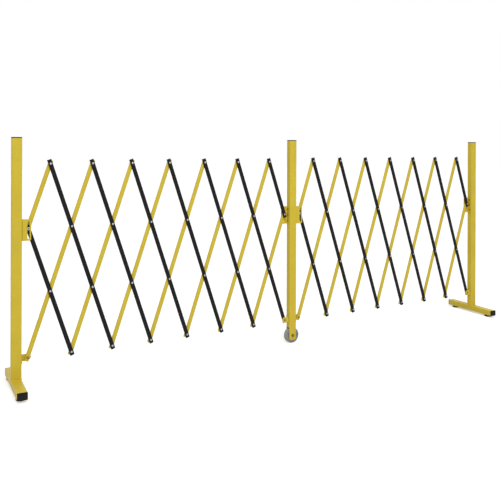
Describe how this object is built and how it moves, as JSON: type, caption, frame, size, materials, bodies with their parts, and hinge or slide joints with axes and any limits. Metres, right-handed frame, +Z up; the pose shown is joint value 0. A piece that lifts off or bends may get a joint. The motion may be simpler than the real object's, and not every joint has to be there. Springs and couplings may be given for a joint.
{
  "type": "expandable safety barrier",
  "caption": "Expandable scissor barrier: yellow and black riveted channel bars between three yellow posts, with T feet at the ends and a wheel under the middle post.",
  "frame": {"origin": "on the floor, under the middle of the barrier's length and depth", "axes": "+X along the barrier from the left post to the right post, -Y towards its front (the black bars), +Z up"},
  "size_m": [2.6652, 0.3266, 1.028],
  "materials": {
    "yellow_paint": "powder coated, semi gloss",
    "black_paint": "powder coated, semi gloss",
    "black_plastic": "fine moulded grain",
    "black_rubber": "matt moulded rubber",
    "grey_plastic": "moulded nylon",
    "grey_rubber": "matt moulded tyre",
    "zinc_steel": "bright zinc plated"
  },
  "bodies": {
    "middle_post_set": {"middle_post": "yellow_paint", "middle_post_top_cap": "black_plastic", "middle_post_left_slotted_bracket": "yellow_paint", "middle_post_left_lug": "yellow_paint", "middle_post_right_slotted_bracket": "yellow_paint", "middle_post_right_lug": "yellow_paint", "wheel_axle_bolt": "zinc_steel", "wheel_axle_nut": "zinc_steel"},
    "wheel": {"wheel_tyre": "grey_rubber", "wheel_hub": "grey_plastic"},
    "left_post_set": {"left_post": "yellow_paint", "left_post_top_cap": "black_plastic", "left_post_slotted_bracket": "yellow_paint", "left_post_lug": "yellow_paint", "left_foot": "yellow_paint", "left_foot_front_cap": "black_plastic", "left_foot_back_cap": "black_plastic", "left_foot_front_pad": "black_rubber", "left_foot_back_pad": "black_rubber"},
    "left_yellow_1": {"left_yellow_bar_1": "yellow_paint"},
    "left_black_1": {"left_black_bar_1": "black_paint"},
    "left_yellow_2": {"left_yellow_bar_2": "yellow_paint"},
    "left_black_2": {"left_black_bar_2": "black_paint"},
    "left_yellow_3": {"left_yellow_bar_3": "yellow_paint"},
    "left_black_3": {"left_black_bar_3": "black_paint"},
    "left_yellow_4": {"left_yellow_bar_4": "yellow_paint"},
    "left_black_4": {"left_black_bar_4": "black_paint"},
    "left_yellow_5": {"left_yellow_bar_5": "yellow_paint"},
    "left_black_5": {"left_black_bar_5": "black_paint"},
    "left_yellow_6": {"left_yellow_bar_6": "yellow_paint"},
    "left_black_6": {"left_black_bar_6": "black_paint"},
    "left_yellow_7": {"left_yellow_bar_7": "yellow_paint"},
    "left_black_7": {"left_black_bar_7": "black_paint"},
    "left_yellow_8": {"left_yellow_bar_8": "yellow_paint"},
    "left_black_8": {"left_black_bar_8": "black_paint"},
    "right_post_set": {"right_post": "yellow_paint", "right_post_top_cap": "black_plastic", "right_post_slotted_bracket": "yellow_paint", "right_post_lug": "yellow_paint", "right_foot": "yellow_paint", "right_foot_front_cap": "black_plastic", "right_foot_back_cap": "black_plastic", "right_foot_front_pad": "black_rubber", "right_foot_back_pad": "black_rubber"},
    "right_yellow_1": {"right_yellow_bar_1": "yellow_paint"},
    "right_black_1": {"right_black_bar_1": "black_paint"},
    "right_yellow_2": {"right_yellow_bar_2": "yellow_paint"},
    "right_black_2": {"right_black_bar_2": "black_paint"},
    "right_yellow_3": {"right_yellow_bar_3": "yellow_paint"},
    "right_black_3": {"right_black_bar_3": "black_paint"},
    "right_yellow_4": {"right_yellow_bar_4": "yellow_paint"},
    "right_black_4": {"right_black_bar_4": "black_paint"},
    "right_yellow_5": {"right_yellow_bar_5": "yellow_paint"},
    "right_black_5": {"right_black_bar_5": "black_paint"},
    "right_yellow_6": {"right_yellow_bar_6": "yellow_paint"},
    "right_black_6": {"right_black_bar_6": "black_paint"},
    "right_yellow_7": {"right_yellow_bar_7": "yellow_paint"},
    "right_black_7": {"right_black_bar_7": "black_paint"},
    "right_yellow_8": {"right_yellow_bar_8": "yellow_paint"},
    "right_black_8": {"right_black_bar_8": "black_paint"}
  },
  "joints": [
    {"name": "left_fold", "type": "hinge", "parent": "middle_post_set", "child": "left_black_7", "pos_m": [-0.0298, 0, 0.121], "axis": [0, 1, 0], "range_deg": [-9.61, 14.89]},
    {"name": "left_yellow_7_pivot", "type": "hinge", "parent": "left_black_7", "child": "left_yellow_7", "pos_m": [-0.20651, 0, 0.65239], "axis": [0, -1, 0], "range_deg": [-19.21, 29.79]},
    {"name": "left_black_5_pivot", "type": "hinge", "parent": "left_yellow_7", "child": "left_black_5", "pos_m": [-0.38323, 0, 0.121], "axis": [0, 1, 0], "range_deg": [-19.21, 29.79]},
    {"name": "left_yellow_4_pivot", "type": "hinge", "parent": "left_black_5", "child": "left_yellow_4", "pos_m": [-0.6483, 0, 0.91808], "axis": [0, -1, 0], "range_deg": [-19.21, 29.79]},
    {"name": "left_black_2_pivot", "type": "hinge", "parent": "left_yellow_4", "child": "left_black_2", "pos_m": [-0.91337, 0, 0.121], "axis": [0, 1, 0], "range_deg": [-19.21, 29.79]},
    {"name": "left_yellow_2_pivot", "type": "hinge", "parent": "left_black_2", "child": "left_yellow_2", "pos_m": [-1.09009, 0, 0.65239], "axis": [0, -1, 0], "range_deg": [-19.21, 29.79]},
    {"name": "left_post_pivot", "type": "hinge", "parent": "left_yellow_2", "child": "left_post_set", "pos_m": [-1.2668, 0, 0.121], "axis": [0, 1, 0], "range_deg": [-9.61, 14.89]},
    {"name": "left_black_1_pivot", "type": "hinge", "parent": "left_yellow_2", "child": "left_black_1", "pos_m": [-1.17844, 0, 0.38669], "axis": [0, 1, 0], "range_deg": [-19.21, 29.79]},
    {"name": "left_yellow_1_pivot", "type": "hinge", "parent": "left_black_2", "child": "left_yellow_1", "pos_m": [-1.17844, 0, 0.91808], "axis": [0, -1, 0], "range_deg": [-19.21, 29.79]},
    {"name": "left_yellow_3_pivot", "type": "hinge", "parent": "left_black_2", "child": "left_yellow_3", "pos_m": [-1.00173, 0, 0.38669], "axis": [0, -1, 0], "range_deg": [-19.21, 29.79]},
    {"name": "left_black_3_pivot", "type": "hinge", "parent": "left_yellow_4", "child": "left_black_3", "pos_m": [-0.82501, 0, 0.38669], "axis": [0, 1, 0], "range_deg": [-19.21, 29.79]},
    {"name": "left_black_4_pivot", "type": "hinge", "parent": "left_yellow_4", "child": "left_black_4", "pos_m": [-0.73666, 0, 0.65239], "axis": [0, 1, 0], "range_deg": [-19.21, 29.79]},
    {"name": "left_yellow_5_pivot", "type": "hinge", "parent": "left_black_5", "child": "left_yellow_5", "pos_m": [-0.55994, 0, 0.65239], "axis": [0, -1, 0], "range_deg": [-19.21, 29.79]},
    {"name": "left_yellow_6_pivot", "type": "hinge", "parent": "left_black_5", "child": "left_yellow_6", "pos_m": [-0.47159, 0, 0.38669], "axis": [0, -1, 0], "range_deg": [-19.21, 29.79]},
    {"name": "left_black_6_pivot", "type": "hinge", "parent": "left_yellow_7", "child": "left_black_6", "pos_m": [-0.29487, 0, 0.38669], "axis": [0, 1, 0], "range_deg": [-19.21, 29.79]},
    {"name": "left_black_8_pivot", "type": "hinge", "parent": "left_yellow_7", "child": "left_black_8", "pos_m": [-0.11816, 0, 0.91808], "axis": [0, 1, 0], "range_deg": [-19.21, 29.79]},
    {"name": "left_yellow_8_pivot", "type": "hinge", "parent": "left_black_7", "child": "left_yellow_8", "pos_m": [-0.11816, 0, 0.38669], "axis": [0, -1, 0], "range_deg": [-19.21, 29.79]},
    {"name": "right_fold", "type": "hinge", "parent": "middle_post_set", "child": "right_yellow_2", "pos_m": [0.0618, 0, 0.121], "axis": [0, -1, 0], "range_deg": [-10.1, 14.4]},
    {"name": "right_black_2_pivot", "type": "hinge", "parent": "right_yellow_2", "child": "right_black_2", "pos_m": [0.23394, 0, 0.65389], "axis": [0, 1, 0], "range_deg": [-20.2, 28.8]},
    {"name": "right_yellow_4_pivot", "type": "hinge", "parent": "right_black_2", "child": "right_yellow_4", "pos_m": [0.40609, 0, 0.121], "axis": [0, -1, 0], "range_deg": [-20.2, 28.8]},
    {"name": "right_black_5_pivot", "type": "hinge", "parent": "right_yellow_4", "child": "right_black_5", "pos_m": [0.6643, 0, 0.92033], "axis": [0, 1, 0], "range_deg": [-20.2, 28.8]},
    {"name": "right_yellow_7_pivot", "type": "hinge", "parent": "right_black_5", "child": "right_yellow_7", "pos_m": [0.92251, 0, 0.121], "axis": [0, -1, 0], "range_deg": [-20.2, 28.8]},
    {"name": "right_black_7_pivot", "type": "hinge", "parent": "right_yellow_7", "child": "right_black_7", "pos_m": [1.09466, 0, 0.65389], "axis": [0, 1, 0], "range_deg": [-20.2, 28.8]},
    {"name": "right_post_pivot", "type": "hinge", "parent": "right_black_7", "child": "right_post_set", "pos_m": [1.2668, 0, 0.121], "axis": [0, -1, 0], "range_deg": [-10.1, 14.4]},
    {"name": "right_black_1_pivot", "type": "hinge", "parent": "right_yellow_2", "child": "right_black_1", "pos_m": [0.14787, 0, 0.38744], "axis": [0, 1, 0], "range_deg": [-20.2, 28.8]},
    {"name": "right_yellow_1_pivot", "type": "hinge", "parent": "right_black_2", "child": "right_yellow_1", "pos_m": [0.14787, 0, 0.92033], "axis": [0, -1, 0], "range_deg": [-20.2, 28.8]},
    {"name": "right_yellow_3_pivot", "type": "hinge", "parent": "right_black_2", "child": "right_yellow_3", "pos_m": [0.32001, 0, 0.38744], "axis": [0, -1, 0], "range_deg": [-20.2, 28.8]},
    {"name": "right_black_3_pivot", "type": "hinge", "parent": "right_yellow_4", "child": "right_black_3", "pos_m": [0.49216, 0, 0.38744], "axis": [0, 1, 0], "range_deg": [-20.2, 28.8]},
    {"name": "right_black_4_pivot", "type": "hinge", "parent": "right_yellow_4", "child": "right_black_4", "pos_m": [0.57823, 0, 0.65389], "axis": [0, 1, 0], "range_deg": [-20.2, 28.8]},
    {"name": "right_yellow_5_pivot", "type": "hinge", "parent": "right_black_5", "child": "right_yellow_5", "pos_m": [0.75037, 0, 0.65389], "axis": [0, -1, 0], "range_deg": [-20.2, 28.8]},
    {"name": "right_yellow_6_pivot", "type": "hinge", "parent": "right_black_5", "child": "right_yellow_6", "pos_m": [0.83644, 0, 0.38744], "axis": [0, -1, 0], "range_deg": [-20.2, 28.8]},
    {"name": "right_black_6_pivot", "type": "hinge", "parent": "right_yellow_7", "child": "right_black_6", "pos_m": [1.00859, 0, 0.38744], "axis": [0, 1, 0], "range_deg": [-20.2, 28.8]},
    {"name": "right_black_8_pivot", "type": "hinge", "parent": "right_yellow_7", "child": "right_black_8", "pos_m": [1.18073, 0, 0.92033], "axis": [0, 1, 0], "range_deg": [-20.2, 28.8]},
    {"name": "right_yellow_8_pivot", "type": "hinge", "parent": "right_black_7", "child": "right_yellow_8", "pos_m": [1.18073, 0, 0.38744], "axis": [0, -1, 0], "range_deg": [-20.2, 28.8]},
    {"name": "wheel_spin", "type": "hinge", "parent": "middle_post_set", "child": "wheel", "pos_m": [0.016, 0, 0.038], "axis": [0, 1, 0], "continuous": true}
  ],
  "couplings": [
    {"joint": "left_yellow_7_pivot", "follows": "left_fold", "ratio": 2},
    {"joint": "left_black_5_pivot", "follows": "left_fold", "ratio": 2},
    {"joint": "left_yellow_4_pivot", "follows": "left_fold", "ratio": 2},
    {"joint": "left_black_2_pivot", "follows": "left_fold", "ratio": 2},
    {"joint": "left_yellow_2_pivot", "follows": "left_fold", "ratio": 2},
    {"joint": "left_post_pivot", "follows": "left_fold", "ratio": 1},
    {"joint": "left_black_1_pivot", "follows": "left_fold", "ratio": 2},
    {"joint": "left_yellow_1_pivot", "follows": "left_fold", "ratio": 2},
    {"joint": "left_yellow_3_pivot", "follows": "left_fold", "ratio": 2},
    {"joint": "left_black_3_pivot", "follows": "left_fold", "ratio": 2},
    {"joint": "left_black_4_pivot", "follows": "left_fold", "ratio": 2},
    {"joint": "left_yellow_5_pivot", "follows": "left_fold", "ratio": 2},
    {"joint": "left_yellow_6_pivot", "follows": "left_fold", "ratio": 2},
    {"joint": "left_black_6_pivot", "follows": "left_fold", "ratio": 2},
    {"joint": "left_black_8_pivot", "follows": "left_fold", "ratio": 2},
    {"joint": "left_yellow_8_pivot", "follows": "left_fold", "ratio": 2},
    {"joint": "right_black_2_pivot", "follows": "right_fold", "ratio": 2},
    {"joint": "right_yellow_4_pivot", "follows": "right_fold", "ratio": 2},
    {"joint": "right_black_5_pivot", "follows": "right_fold", "ratio": 2},
    {"joint": "right_yellow_7_pivot", "follows": "right_fold", "ratio": 2},
    {"joint": "right_black_7_pivot", "follows": "right_fold", "ratio": 2},
    {"joint": "right_post_pivot", "follows": "right_fold", "ratio": 1},
    {"joint": "right_black_1_pivot", "follows": "right_fold", "ratio": 2},
    {"joint": "right_yellow_1_pivot", "follows": "right_fold", "ratio": 2},
    {"joint": "right_yellow_3_pivot", "follows": "right_fold", "ratio": 2},
    {"joint": "right_black_3_pivot", "follows": "right_fold", "ratio": 2},
    {"joint": "right_black_4_pivot", "follows": "right_fold", "ratio": 2},
    {"joint": "right_yellow_5_pivot", "follows": "right_fold", "ratio": 2},
    {"joint": "right_yellow_6_pivot", "follows": "right_fold", "ratio": 2},
    {"joint": "right_black_6_pivot", "follows": "right_fold", "ratio": 2},
    {"joint": "right_black_8_pivot", "follows": "right_fold", "ratio": 2},
    {"joint": "right_yellow_8_pivot", "follows": "right_fold", "ratio": 2}
  ]
}
